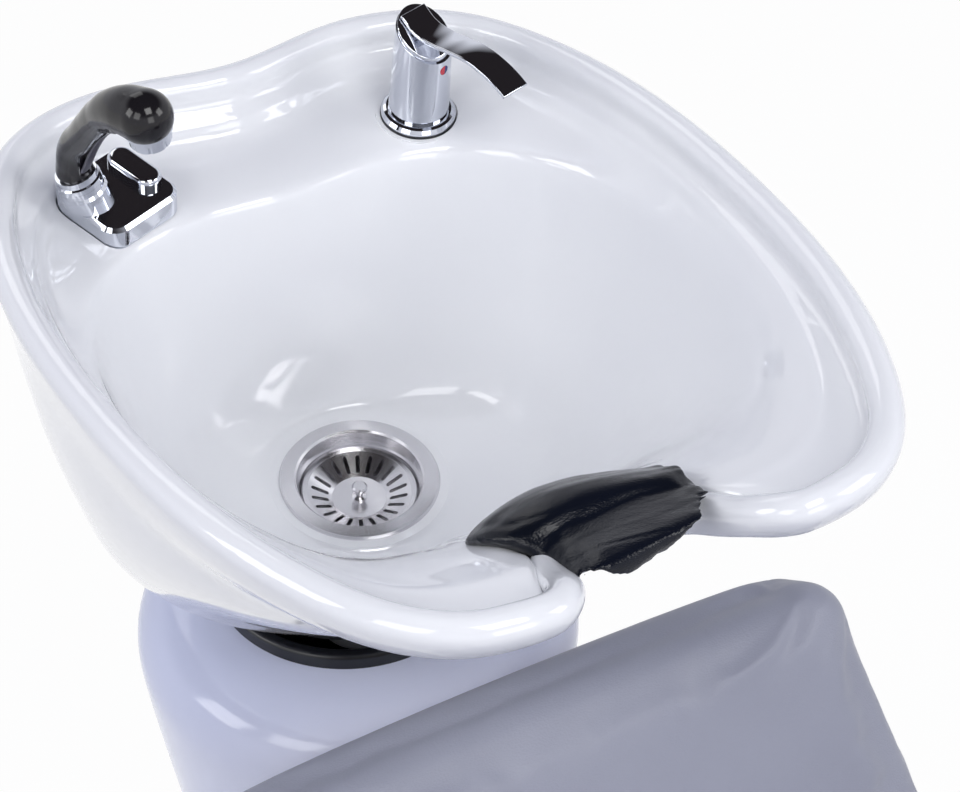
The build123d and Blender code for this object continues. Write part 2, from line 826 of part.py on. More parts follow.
def spray_ring():
    """The chrome ring that holds the spray face, with finger notches round it."""
    top = -head_radius * head_cut
    low = top - spray_height
    ring = turned([
        (spray_radius - spray_wall, low), (spray_radius, low), (spray_radius, top - spray_height * 0.35),
        (spray_radius + spray_wall * 0.8, top - spray_height * 0.3), (spray_radius + spray_wall * 0.8, top),
        (spray_radius - spray_wall, top),
    ])
    notch = Pos(spray_radius + spray_wall * 0.8, 0, low) * Cylinder(spray_wall, spray_height * 0.9)
    ring -= [Rot(0, 0, turn * 45) * notch for turn in range(8)]
    return handset_place * spray_place * ring


def spray_face():
    """The rubber face with its nozzles."""
    top = -head_radius * head_cut - spray_height + spray_face_thick * 1.6
    face = disc(spray_radius - spray_wall - fit_gap / 3, top - spray_face_thick, top)
    nozzle = Pos(0, 0, top - spray_face_thick) * Cone(spray_wall * 0.4, spray_wall * 0.7, spray_wall)
    for count, share in ((nozzles_inner, nozzle_inner_share), (nozzles_outer, nozzle_outer_share)):
        first = Pos(spray_radius * share, 0, 0) * nozzle
        face += [Rot(0, 0, turn * 360 / count) * first for turn in range(count)]
    return handset_place * spray_place * face


def handset_inlay():
    """The soft grip strip let into the underside of the handle."""
    stations = handle_stations()
    faces = []
    for before, station, after in zip(stations, stations[1:], stations[2:]):
        reach, height, radius = station
        along = (0, before[0] - after[0], after[1] - before[1])
        plane = Plane(origin=(0, -reach, height), x_dir=(1, 0, 0), z_dir=along)
        faces.append(plane * Pos(0, -radius) * Ellipse(inlay_width / 2, inlay_thick))
    return handset_place * (loft(faces) - spray_mouth)


# Neck rest


def neck_rest():
    """The soft saddle over the neck notch, bedded on the rolled edge."""
    halves = [(-across, length, height, rise) for across, length, height, rise in reversed(rest_shares)]
    faces = []
    for across, length, height, rise in halves[:-1] + rest_shares:
        place = Pos(across * rest_half_width, rest_y, rest_z + rise * rest_height)
        plane = place * Plane(origin=(0, 0, 0), x_dir=(0, 1, 0), z_dir=(1, 0, 0)).location
        oval = Ellipse(length * rest_length / 2, height * rest_height / 2)
        faces.append(plane * Rot(0, 0, -rest_slope) * oval)
    return loft(faces) - basin


for node, shape in (
    ("waste_flange", waste_flange()),
    ("waste_gasket", waste_gasket()),
    ("waste_lock_nut", waste_lock_nut()),
    ("waste_trap", waste_trap()),
    ("strainer_basket", strainer_basket()),
    ("basket_knob", basket_knob()),
):
    save(basin_place * drain_place * shape, node)

for node, shape in (
    ("mixer_gasket", mixer_gasket()),
    ("mixer_body", mixer_body()),
    ("mixer_cartridge", mixer_cartridge()),
    ("mixer_lever", mixer_lever()),
    ("mixer_dot", mixer_dot()),
    ("mixer_shank", deck_shank()),
    ("mixer_nut", shank_nut()),
    ("mixer_washer", shank_washer()),
    ("mixer_inlets", mixer_inlets()),
):
    save(basin_place * mixer_place * shape, node)

plate, boss = holder_plate()
for node, shape in (
    ("holder_plate", plate - holder_bore()),
    ("holder_boss", boss),
    ("holder_socket", holder_socket()),
    ("holder_shank", deck_shank()),
    ("holder_nut", shank_nut()),
    ("holder_washer", shank_washer()),
    ("handset_ferrule", handset_ferrule()),
    ("handset_body", handset_body()),
    ("handset_inlay", handset_inlay()),
    ("spray_ring", spray_ring()),
    ("spray_face", spray_face()),
):
    save(basin_place * holder_place * shape, node)

save(basin_place * neck_rest(), "neck_rest")


# Bracket and tilt hinge under the basin


def basin_bracket():
    """The steel plate bolted under the basin, with two ears for the hinge; in the basin's frame."""
    plate_radius = skirt_radius - skirt_thick - fit_gap
    top = -base_drop
    plate = Pos(0, base_centre_y, 0) * disc(plate_radius, top - bracket_thick, top)
    plate -= drain_place * disc(trap_radius + 2 * fit_gap + steel_wall, top - trap_height, 0)
    for side in (-1, 1):
        outer = side * ear_spacing / 2
        inner = outer + side * ear_thick
        low, high = sorted((outer, inner))
        ear = block(low, high, basin_hinge_y - ear_half_width, basin_hinge_y + ear_half_width,
                    basin_hinge_z, top - bracket_thick)
        tip = Pos(low, basin_hinge_y, basin_hinge_z) * Rot(0, 90, 0) * disc(ear_round, 0, ear_thick)
        flat = block(low, high, basin_hinge_y - ear_half_width, basin_hinge_y + ear_half_width,
                     basin_hinge_z, basin_hinge_z + ear_thick)
        plate += ear - flat + hull_ear(low, high) + tip
    hole = Pos(-ear_spacing, basin_hinge_y, basin_hinge_z) * Rot(0, 90, 0)
    plate -= hole * disc(pin_radius + run_gap, 0, 2 * ear_spacing)
    for place in bracket_bolt_places():
        plate -= place * disc(bolt_radius + run_gap, -bracket_thick - cut_over, cut_over)
    return plate


def hull_ear(low, high):
    """The tapering part of one ear, between its straight top and its round tip."""
    wide = ear_half_width
    narrow = ear_round
    shoulder = basin_hinge_z + ear_thick
    points = [
        (low, basin_hinge_y - wide, shoulder), (low, basin_hinge_y + wide, shoulder),
        (low, basin_hinge_y + narrow, basin_hinge_z), (low, basin_hinge_y - narrow, basin_hinge_z),
    ]
    return extrude(make_face(Polyline(*points, close=True)), high - low, dir=(1, 0, 0))


def basin_skirt():
    """The black rubber skirt under the basin, which dips into the collar."""
    ring = tube(skirt_radius, skirt_radius - skirt_thick, -base_drop - skirt_height, -base_drop)
    return Pos(0, base_centre_y, 0) * ring


def bracket_bolts_node():
    """The bolts that hold the bracket up against the basin."""
    head = extrude(RegularPolygon(bolt_head_radius, 6), bolt_head_height)
    bolt = Pos(0, 0, -bracket_thick - bolt_head_height) * head
    bolt += disc(bolt_radius, -bracket_thick, bolt_grip - cut_over)
    return Compound([place * bolt for place in bracket_bolt_places()])


def cradle_ear_x():
    """Inner face of the fixed ears, outside the bracket's ears and their washers."""
    return ear_spacing / 2 + ear_thick + washer_gap + 2 * fit_gap


def tilt_cradle():
    """The fixed plate on the column with two upright ears, open at the front for the trap."""
    top = column_top + top_plate_thick
    back = column_y + column_half
    plate = block(-top_plate_half, top_plate_half, top_plate_front, back, column_top, top)
    plate -= Pos(0, 0, column_top) * disc(trap_clear, -cut_over, top_plate_thick + cut_over)
    front = top_plate_front - cut_over
    plate -= block(-trap_clear, trap_clear, front, 0, column_top - cut_over, top + cut_over)
    plate = fillet(plate.edges().filter_by(Axis.Z).group_by(Axis.Y)[-1], ear_round)
    for side in (-1, 1):
        low, high = sorted((side * cradle_ear_x(), side * (cradle_ear_x() + ear_thick)))
        ear = block(low, high, hinge_y - ear_half_width, hinge_y + ear_half_width, top, hinge_z)
        tip = Pos(low, hinge_y, hinge_z) * Rot(0, 90, 0) * disc(ear_half_width, 0, ear_thick)
        plate += ear + tip
    hole = Pos(-ear_spacing, hinge_y, hinge_z) * Rot(0, 90, 0)
    return plate - hole * disc(pin_radius + run_gap, 0, 2 * ear_spacing)


def hinge_side(side):
    """A frame on the hinge axis that points outwards on one side."""
    return Pos(0, hinge_y, hinge_z) * Rot(0, side * 90, 0)


def pivot_bolts():
    """The two shoulder bolts that the basin tilts on."""
    bolts = []
    inner = ear_spacing / 2 - ear_thick
    outer = cradle_ear_x() + ear_thick
    for side in (-1, 1):
        head = Pos(0, 0, outer) * extrude(RegularPolygon(pin_head_radius, 6), pin_head_thick)
        bolts.append(hinge_side(side) * (disc(pin_radius, inner - pin_head_thick, outer) + head))
    return Compound(bolts)


def pivot_nuts():
    """The lock nuts on the inner ends of the shoulder bolts."""
    nuts = []
    outer = ear_spacing / 2 - fit_gap
    for side in (-1, 1):
        nut = Pos(0, 0, outer - pin_head_thick) * extrude(RegularPolygon(pin_head_radius, 6), pin_head_thick)
        nuts.append(hinge_side(side) * (nut - disc(pin_radius, 0, outer + cut_over)))
    return Compound(nuts)


def friction_washers():
    """The washers between the ears that hold the basin where it is put."""
    low = cradle_ear_x() - washer_gap
    ring = tube(pin_head_radius, pin_radius + run_gap, low, low + washer_gap)
    return Compound([hinge_side(side) * ring for side in (-1, 1)])


# Pedestal


def pedestal_outline(inset):
    """The pedestal's side view from the floor to its mouth, moved in by the wall."""
    low = floor_top
    side = [
        (pedestal_foot - inset, low), (pedestal_waist - inset, pedestal_waist_z),
        (pedestal_mid_radius - inset, pedestal_mid_z), (pedestal_radius - inset, pedestal_high_z),
    ]
    return side


def pedestal_solid(inset):
    """The pedestal as a filled round form with a swelling top and a soft shoulder."""
    side = Spline(*[(radius, 0, height) for radius, height in pedestal_outline(inset)])
    shoulder_start = side @ 1
    crest = pedestal_top - inset
    mouth_side = pedestal_mouth + (pedestal_radius - pedestal_mouth) * 0.35
    bend = Vector(pedestal_radius - inset - 6 * fit_gap, 0, crest - (crest - pedestal_high_z) * 0.42)
    turn = Spline(
        [shoulder_start, bend, Vector(mouth_side, 0, crest)],
        tangents=[side % 1, Vector(-1, 0, 0)],
    )
    rest = Polyline(turn @ 1, (0, 0, crest), (0, 0, floor_top), side @ 0)
    return Pos(0, pedestal_y, 0) * revolve(make_face(Curve() + [side, turn, rest]), Axis.Z)


def door_block(grow, depth_low):
    """A block through the pedestal's back that marks the service opening."""
    half = door_half_width + grow
    far = pedestal_y + 2 * pedestal_radius
    return block(-half, half, pedestal_y + depth_low, far, door_low - grow, door_high + grow)


pedestal_full = pedestal_solid(0)
pedestal_room = pedestal_solid(pedestal_wall)
pedestal_lip = pedestal_solid(pedestal_wall + door_lip_thick)


def pedestal_shell():
    """The moulded pedestal: an open shell with a round mouth, a service opening and its rebate."""
    under = Pos(0, pedestal_y, 0) * disc(pedestal_foot - pedestal_wall, 0, floor_top + pedestal_wall)
    shell = pedestal_full - pedestal_room - under
    lip = (pedestal_room - pedestal_lip) & (door_block(door_lip, 0) - door_block(-door_lip, 0))
    shell -= door_block(0, 0)
    shell += lip
    shell -= Pos(0, hinge_y, pedestal_top) * disc(pedestal_mouth, -pedestal_wall - cut_over, cut_over)
    for place in door_screw_places():
        shell -= place * disc(screw_radius + run_gap, -screw_length, cut_over)
    return shell


def service_door():
    """The cover in the pedestal's back, flush with the shell."""
    door = (pedestal_full - pedestal_room) & door_block(-door_gap, 0)
    bore = disc(screw_radius + run_gap, -screw_length, cut_over)
    seat = disc(screw_head_radius + fit_gap, -fit_gap, cut_over)
    return door - [place * (bore + seat) for place in door_screw_places()]


def door_screw_places():
    """Screw places near the corners of the service opening, square to the wall."""
    places = []
    for height in (door_low + screw_inset, door_high - screw_inset):
        for side in (-1, 1):
            x = side * (door_half_width - screw_inset)
            radius = pedestal_radius_at(height)
            turn = Rot(0, 0, 90) * Rot(0, 90, 0)
            angle = side * side_turn(x, radius)
            places.append(Pos(0, pedestal_y, height) * Rot(0, 0, -angle) * Pos(0, radius, 0) * turn)
    return places


def side_turn(x, radius):
    """The turn in degrees, about the pedestal's middle, that brings its wall to one x."""
    return abs(Vector(0, 1, 0).get_angle(Vector(abs(x), (radius ** 2 - x ** 2) ** 0.5, 0)))


def pedestal_radius_at(height):
    """The pedestal's outer radius at one height, found on its own side view."""
    low = pedestal_y - fit_gap
    probe = block(0, 2 * pedestal_radius, low, low + 2 * fit_gap, height, height + fit_gap)
    return (pedestal_full & probe).bounding_box().max.X


def door_screws():
    """The dome-headed screws that hold the service door."""
    screws = []
    for place in door_screw_places():
        head = disc(screw_head_radius, 0, screw_head_height)
        head = fillet(head.edges().group_by(Axis.Z)[-1], screw_head_height * 0.8)
        screws.append(place * (head + disc(screw_radius, -pedestal_wall - door_lip_thick, 0)))
    return Compound(screws)


def collar_ring():
    """The black ring round the pedestal's mouth."""
    ring = tube(collar_outer, pedestal_mouth, 0, collar_height)
    ring = fillet(ring.edges().group_by(Axis.Z)[-1], collar_edge)
    return Pos(0, hinge_y, pedestal_top) * ring


# Column and floor


def column():
    """The square steel column that carries the basin, with its foot."""
    low = floor_top
    half = column_half
    inner = half - column_wall
    post = block(-half, half, -half, half, low + column_foot_thick, column_top)
    post -= block(-inner, inner, -inner, inner, low - cut_over, column_top + cut_over)
    foot_half = column_foot_half
    foot = block(-foot_half, foot_half, -foot_half, foot_half, low, low + column_foot_thick)
    holes = [Pos(x, y, 0) * disc(bolt_radius + run_gap, low - cut_over, low + 2 * column_foot_thick)
             for x, y in foot_bolt_spots()]
    return Pos(0, column_y - column_half, 0) * (post + foot - holes)


def foot_bolt_spots():
    """The column foot's bolts, in the column's own plan."""
    spot = (column_half + column_foot_half) / 2
    return [(x, y) for x in (-spot, spot) for y in (-spot, spot)]


def foot_bolts():
    """The bolts through the column's foot into the floor plate."""
    top = floor_top + column_foot_thick
    bolt = disc(bolt_radius, floor_top - floor_plate_thick / 2, top)
    bolt += Pos(0, 0, top) * extrude(RegularPolygon(bolt_head_radius, 6), bolt_head_height)
    return Compound([Pos(x, column_y - column_half + y, 0) * bolt for x, y in foot_bolt_spots()])


def anchor_spots():
    """Where the floor plate takes its floor anchors."""
    x = floor_plate_half_width - anchor_inset
    rows = (floor_plate_front + anchor_inset, floor_plate_back - anchor_inset)
    return [(s * x, y) for s in (-1, 1) for y in rows]


def floor_plate():
    """The long steel plate under the pedestal and the chair."""
    length = floor_plate_back - floor_plate_front
    middle = (floor_plate_back + floor_plate_front) / 2
    outline = RectangleRounded(2 * floor_plate_half_width, length, floor_plate_corner)
    plate = Pos(0, middle, pad_thick) * extrude(outline, floor_plate_thick)
    for x, y in anchor_spots():
        plate -= Pos(x, y, 0) * disc(anchor_radius, 0, 2 * floor_top)
    for x, y in foot_bolt_spots():
        hole = disc(bolt_radius + run_gap, floor_top - floor_plate_thick / 2, floor_top + cut_over)
        plate -= Pos(x, y + column_y - column_half, 0) * hole
    return plate


def floor_pads():
    """The rubber pads under the floor plate, one of them at the origin."""
    x = floor_plate_half_width - pad_inset
    front = floor_plate_front + 2 * pad_inset
    back = floor_plate_back - pad_inset
    middle = (front + back) / 2
    spots = [(s * x, y) for s in (-1, 1) for y in (front, middle, back)] + [(0, 0)]
    pad = disc(pad_radius, 0, pad_thick)
    return Compound([Pos(px, py, 0) * pad for px, py in spots])


# Chair


seat_low = seat_height - seat_thick
rail_top = seat_low - board_thick
rail_low = rail_top - 2 * rail_half
cross_low = rail_low - 2 * rail_half
seat_back_y = back_top_y - (back_top_z - seat_height) / tan(radians(back_recline)) - seat_back_gap
seat_front_y = seat_back_y - seat_depth
back_place = Pos(0, back_top_y, back_top_z) * Rot(back_recline - 90, 0, 0) * Rot(90, 0, 0)


def cushion(outline_at, half_span, middle, thick):
    """A soft pad: drawn in towards its back, fullest half way, with a rolled edge and a crown."""
    half = thick / 2
    lower = loft([outline_at(cushion_draw), Pos(0, 0, half) * outline_at(0)], ruled=True)
    upper = Pos(0, 0, half) * extrude(outline_at(0), half)
    radius = half_span ** 2 / (2 * cushion_crown)
    dome = Pos(0, middle, thick - radius) * Rot(90, 0, 0) * Sphere(radius)
    pad = (lower + upper) & dome
    top = pad.faces().sort_by(Axis.Z)[-1]
    pad = fillet(top.edges(), cushion_round)
    return fillet(pad.edges().group_by(Axis.Z)[0], cushion_draw)


def back_outline(inset):
    """The back cushion's outline in its own plane: an arched top and sides that spread downwards."""
    spread = tan(radians(back_flare))
    top = back_half_top - inset
    low = back_half_top + spread * back_length - inset
    foot = -back_length + inset
    head = -inset - back_arch
    arch = ThreePointArc((-top, head), (0, -inset), (top, head))
    sides = Polyline((top, head), (low, foot), (-low, foot), (-top, head))
    face = make_face(Curve() + [arch, sides])
    corner = max(back_corner - inset * 0.3, back_corner / 3)
    return fillet(face.vertices(), corner)


def seat_outline(inset):
    """The seat cushion's outline."""
    half = seat_half_width - inset
    deep = seat_depth - 2 * inset
    return RectangleRounded(2 * half, deep, max(seat_corner - inset * 0.3, seat_corner / 3))


def back_cushion():
    """The back cushion in its plane; its thickness runs towards the sitter."""
    pad = cushion(back_outline, back_half_top, -back_length / 2, back_thick)
    return back_place * Pos(0, 0, -back_thick) * pad


def back_board():
    """The moulded board behind the back cushion."""
    board = extrude(back_outline(board_inset), board_thick)
    board = fillet(board.edges().group_by(Axis.Z)[0], board_thick / 3)
    return back_place * Pos(0, 0, -back_thick - board_thick) * board


def seat_cushion():
    """The seat cushion, crowned upwards."""
    middle = (seat_front_y + seat_back_y) / 2
    return Pos(0, middle, seat_low) * cushion(seat_outline, seat_half_width, 0, seat_thick)


def seat_board():
    """The board under the seat cushion."""
    middle = (seat_front_y + seat_back_y) / 2
    return Pos(0, middle, rail_top) * extrude(seat_outline(board_inset), board_thick) - bolt_holes()


def square_tube(x0, x1, y0, y1, z0, z1, along):
    """A square steel tube between limits, open along one axis."""
    limits = [[x0, x1], [y0, y1], [z0, z1]]
    outer = block(x0, x1, y0, y1, z0, z1)
    for axis, pair in enumerate(limits):
        grow = cut_over if axis == along else -rail_wall
        pair[0] -= grow
        pair[1] += grow
    return outer - block(*limits[0], *limits[1], *limits[2])


def seat_rails():
    """The two long tubes under the seat board, which also carry the back's bars."""
    front = seat_front_y + rail_front_inset
    half = rail_half
    rails = []
    for x in (-rail_x, rail_x):
        rails.append(square_tube(x - half, x + half, front, rail_back_y, rail_low, rail_top, 1))
    return Compound([rail - bolt_holes() for rail in rails])


def seat_crossbars():
    """The two cross tubes under the rails, which also carry the arms."""
    reach = seat_half_width + arm_gap
    half = rail_half
    bars = []
    for y in (cross_front_y, cross_back_y):
        bars.append(square_tube(-reach, reach, y - half, y + half, cross_low, rail_low, 0))
    return Compound(bars)


def seat_post():
    """The box post under the seat, with its cap plate."""
    low = floor_top
    top = cross_low - post_cap_thick
    inner = post_half - post_wall
    post = block(-post_half, post_half, post_y - post_half, post_y + post_half, low, top)
    post -= block(-inner, inner, post_y - inner, post_y + inner, low - cut_over, top + cut_over)
    wide = post_cap_half
    cap = block(-wide, wide, post_y - wide, post_y + wide, top, cross_low)
    cap = fillet(cap.edges().filter_by(Axis.Z), post_cap_thick * 2)
    return post + cap


def back_bars():
    """The two flat bars that rise from the seat frame behind the back board."""
    behind = back_thick + board_thick + back_bar_thick / 2
    run_y = -cos(radians(back_recline))
    run_z = -sin(radians(back_recline))
    out_y = sin(radians(back_recline)) * behind
    out_z = -cos(radians(back_recline)) * behind
    top_y = back_top_y + out_y + run_y * back_bar_top
    top_z = back_top_z + out_z + run_z * back_bar_top
    knee_y = back_top_y + out_y + run_y * back_length
    knee_z = back_top_z + out_z + run_z * back_length
    half = back_bar_thick / 2
    path = Polyline((0, knee_y, rail_top), (0, knee_y, knee_z), (0, top_y, top_z))
    side = Pos(0, knee_y, rail_top) * Rectangle(2 * back_bar_half_width, 2 * half)
    bar = sweep(side, path, transition=Transition.RIGHT)
    return Compound([Pos(x, 0, 0) * bar for x in (-rail_x, rail_x)])


def arm_loop(side):
    """One arm: a flat bar bent into a rounded loop, standing beside the seat."""
    middle_y = (arm_front_y + arm_back_y) / 2
    low = cross_low
    middle_z = (arm_height + low) / 2
    wide = arm_back_y - arm_front_y
    high = arm_height - low
    thick = arm_bar_thick
    outer = RectangleRounded(wide, high, arm_corner)
    inner = RectangleRounded(wide - 2 * thick, high - 2 * thick, arm_corner - thick)
    loop = extrude(outer - inner, arm_bar_width)
    start = side * (seat_half_width + arm_gap) + (0 if side > 0 else -arm_bar_width)
    return Plane(origin=(start, middle_y, middle_z), x_dir=(0, 1, 0), z_dir=(1, 0, 0)) * loop


def arm_pad(side):
    """The soft pad on top of one arm."""
    middle_y = (arm_front_y + arm_back_y) / 2
    x = side * (seat_half_width + arm_gap + arm_bar_width / 2)
    outline = RectangleRounded(2 * arm_pad_half_width, arm_pad_length, arm_pad_half_width * 0.9)
    pad = extrude(outline, arm_pad_thick)
    pad = fillet(pad.edges().group_by(Axis.Z)[-1], arm_pad_thick / 3)
    return Pos(x, middle_y, arm_height) * pad


def chair_bolt_spots():
    """Where the seat board is screwed to its rails."""
    inset = 4 * rail_half
    return [(x, y) for x in (-rail_x, rail_x) for y in (seat_front_y + inset, seat_back_y - inset)]


def seat_bolts():
    """The screws that hold the seat board down on its rails from below."""
    bolt = disc(chair_bolt_radius, rail_low, rail_top + board_thick / 2)
    head = Pos(0, 0, rail_low - chair_bolt_head_height)
    bolt += head * extrude(RegularPolygon(chair_bolt_head_radius, 6), chair_bolt_head_height)
    return Compound([Pos(x, y, 0) * bolt for x, y in chair_bolt_spots()])


def bolt_holes():
    """The clearance holes for those screws, through the rails and into the board."""
    hole = disc(chair_bolt_radius + run_gap, rail_low - cut_over, rail_top + board_thick / 2 + fit_gap)
    return [Pos(x, y, 0) * hole for x, y in chair_bolt_spots()]


for node, shape in (
    ("basin_bracket", basin_bracket()),
    ("basin_skirt", basin_skirt()),
    ("bracket_bolts", bracket_bolts_node()),
):
    save(basin_place * shape, node)

for node, shape in (
    ("tilt_cradle", tilt_cradle()),
    ("pivot_bolts", pivot_bolts()),
    ("pivot_nuts", pivot_nuts()),
    ("friction_washers", friction_washers()),
    ("pedestal_shell", pedestal_shell()),
    ("service_door", service_door()),
    ("door_screws", door_screws()),
    ("collar_ring", collar_ring()),
    ("column", column()),
    ("foot_bolts", foot_bolts()),
    ("floor_plate", floor_plate()),
    ("floor_pads", floor_pads()),
    ("back_cushion", back_cushion()),
    ("back_board", back_board()),
    ("back_bars", back_bars()),
    ("seat_cushion", seat_cushion()),
    ("seat_board", seat_board()),
    ("seat_rails", seat_rails()),
    ("seat_crossbars", seat_crossbars()),
    ("seat_bolts", seat_bolts()),
    ("seat_post", seat_post()),
    ("arm_left", arm_loop(-1)),
    ("arm_right", arm_loop(1)),
    ("arm_pad_left", arm_pad(-1)),
    ("arm_pad_right", arm_pad(1)),
):
    save(shape, node)
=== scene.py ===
from math import radians

import bpy
from mathutils import Euler, Matrix, Vector, noise


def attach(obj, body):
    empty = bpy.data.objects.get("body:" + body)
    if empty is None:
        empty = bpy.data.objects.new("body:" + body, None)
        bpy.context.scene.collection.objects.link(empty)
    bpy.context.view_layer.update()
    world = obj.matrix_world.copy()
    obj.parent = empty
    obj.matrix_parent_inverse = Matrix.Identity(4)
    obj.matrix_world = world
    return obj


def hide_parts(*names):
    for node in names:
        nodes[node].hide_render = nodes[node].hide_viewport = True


# A salon backwash unit: tilting glazed basin on a moulded pedestal, with a padded chair in front.
# Metres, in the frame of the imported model: X across the unit, the chair faces -Y, Z is up.

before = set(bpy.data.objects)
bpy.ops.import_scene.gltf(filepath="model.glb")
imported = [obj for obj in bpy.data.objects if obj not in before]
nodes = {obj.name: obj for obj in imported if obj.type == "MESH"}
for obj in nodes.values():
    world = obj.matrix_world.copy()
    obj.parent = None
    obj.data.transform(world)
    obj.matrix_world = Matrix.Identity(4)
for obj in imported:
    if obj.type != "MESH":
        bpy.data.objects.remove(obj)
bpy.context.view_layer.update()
mm = 0.001

# The photograph's frame and lens
photo_width = 960
focal_px = 2443.9
sensor_width = 36.0
camera_place = (-0.5481, -1.1590, 1.9003)
camera_azimuth = 29.143         # degrees, from straight ahead towards the sitter's left
camera_elevation = 40.741       # degrees above level

# Lamps: name, degrees from the unit's front towards its right side, degrees above level, watts
soft_boxes = [
    ("front_low_box", 0, 20, 12),
    ("front_high_box", 0, 55, 30),
    ("left_front_box", -60, 35, 15),
    ("left_box", -100, 30, 20),
    ("right_front_box", 50, 30, 20),
    ("back_box", 180, 40, 7),
]
lamp_target = (0.0, 0.0, 0.85)
lamp_distance = 3.0
lamp_side = 1.2
shade_colour = "D3DAFF"
shade_strength = 0.27
floor_size = 40.0
floor_sink = 0.5 * mm           # how far the floor lies under the unit
floor_glow = 0.97               # share of the floor that is plain white to the camera

# Real sizes that patterns follow
drain_height = 0.720
drain_lean = radians(5.6)       # the basin's pitch and the floor's slope together
dot_shift = 0.6 * mm            # the dot's colours meet this far right of the mixer's middle


# Frames of the basin, of the mixer's and holder's seats on its deck, and of the handset


def turned_by(axis, degrees):
    return Matrix.Rotation(radians(degrees), 4, axis)


basin_frame = Matrix.Translation((0.0, 0.0, drain_height)) @ turned_by("X", -2.9)


def deck_frame(side):
    """The deck's frame at one fitting: side 1 is the mixer's, side -1 the holder's."""
    seat = Matrix.Translation((side * 114.4 * mm, 108.6 * mm, 209.9 * mm))
    return basin_frame @ seat @ turned_by("X", 11.6) @ turned_by("Z", 20.0)


mixer_frame = deck_frame(1)
socket_place = Matrix.Translation((-20.0 * mm, 6.0 * mm, 17.0 * mm))
socket_seat = socket_place @ turned_by("X", -14.0) @ turned_by("Y", -10.0)
handset_frame = deck_frame(-1) @ socket_seat @ Matrix.Translation((0.0, 0.0, 16.3 * mm))


# Helpers for colours and shader nodes


def linear(code, alpha=1.0):
    """An sRGB hex colour as linear red, green, blue and alpha."""
    channels = [int(code[start:start + 2], 16) / 255 for start in (0, 2, 4)]
    values = [c / 12.92 if c <= 0.04045 else ((c + 0.055) / 1.055) ** 2.4 for c in channels]
    return (*values, alpha)


def add(tree, kind, inputs=None, **settings):
    """One node with its settings, its sockets fed from values or from other nodes' sockets."""
    made = tree.nodes.new(kind)
    for name, value in settings.items():
        setattr(made, name, value)
    for name, value in (inputs or {}).items():
        if isinstance(value, bpy.types.NodeSocket):
            tree.links.new(value, made.inputs[name])
        else:
            made.inputs[name].default_value = value
    return made


def new_material(name, sockets):
    """A material whose Principled shader has these values; gives it, its tree, its shader and the
    object coordinates that its patterns follow."""
    material = bpy.data.materials.new(name)
    material.use_nodes = True
    tree = material.node_tree
    shader = tree.nodes["Principled BSDF"]
    for socket, value in sockets.items():
        shader.inputs[socket].default_value = value
    return material, tree, shader, add(tree, "ShaderNodeTexCoord").outputs["Object"]


def clouds(tree, place, scale, detail):
    """Soft noise from 0 to 1."""
    made = add(tree, "ShaderNodeTexNoise", {"Vector": place, "Scale": scale, "Detail": detail})
    return made.outputs["Fac"]


def stretched(tree, place, **sockets):
    """A pattern's coordinates, moved, turned or scaled."""
    mapping = {name.title(): value for name, value in sockets.items()}
    return add(tree, "ShaderNodeMapping", {"Vector": place, **mapping}).outputs["Vector"]


def blend(tree, share, first, second, start=0.0, end=1.0):
    """A colour that goes from the first code to the second as the share goes from start to end."""
    made = add(tree, "ShaderNodeValToRGB", {"Fac": share})
    for element, code, position in zip(made.color_ramp.elements, (first, second), (start, end)):
        element.position = position
        element.color = linear(code)
    return made.outputs["Color"]


def tint(tree, shader, colour):
    tree.links.new(colour, shader.inputs["Base Color"])


def raise_surface(tree, shader, height, strength, distance):
    """Bumps the shader's surface by a pattern's height."""
    bump = add(tree, "ShaderNodeBump", {
        "Height": height, "Strength": strength, "Distance": distance})
    tree.links.new(bump.outputs["Normal"], shader.inputs["Normal"])


# Helpers for meshes


def deselect():
    """Nothing selected and no active object."""
    bpy.ops.object.select_all(action="DESELECT")
    bpy.context.view_layer.objects.active = None


def make_active(piece):
    """Only this piece selected, and active."""
    deselect()
    piece.select_set(True)
    bpy.context.view_layer.objects.active = piece


def link_new(name, data):
    """A new object in the scene, selected and active."""
    piece = bpy.data.objects.new(name, data)
    bpy.context.scene.collection.objects.link(piece)
    make_active(piece)
    return piece


def edit_whole():
    """Edit mode, with all of the active mesh selected."""
    bpy.ops.object.mode_set(mode="EDIT")
    bpy.ops.mesh.select_all(action="SELECT")


def modify(piece, name, kind, **settings):
    """Applies a modifier with these settings to the active piece."""
    modifier = piece.modifiers.new(name, kind)
    for setting, value in settings.items():
        setattr(modifier, setting, value)
    bpy.ops.object.modifier_apply(modifier=modifier.name)


def merge_evenly(piece, voxel, rounds):
    """One skin of even faces over the active piece, relaxed for some rounds."""
    modify(piece, "even_mesh", "REMESH", mode="VOXEL", voxel_size=voxel)
    modify(piece, "relax", "SMOOTH", factor=0.5, iterations=rounds)


def apply_place(piece):
    """Moves the piece's place, turn and size into its mesh."""
    make_active(piece)
    bpy.ops.object.transform_apply(location=True, rotation=True, scale=True)


def join_into(piece, *others):
    """Makes the other meshes part of this one."""
    make_active(piece)
    for other in others:
        other.select_set(True)
    bpy.ops.object.join()


def wear(mesh, material):
    mesh.materials.clear()
    mesh.materials.append(material)


def dress(material, *names):
    """Gives a material to CAD nodes whose shape stays."""
    for name in names:
        wear(nodes[name].data, material)


# Finishes


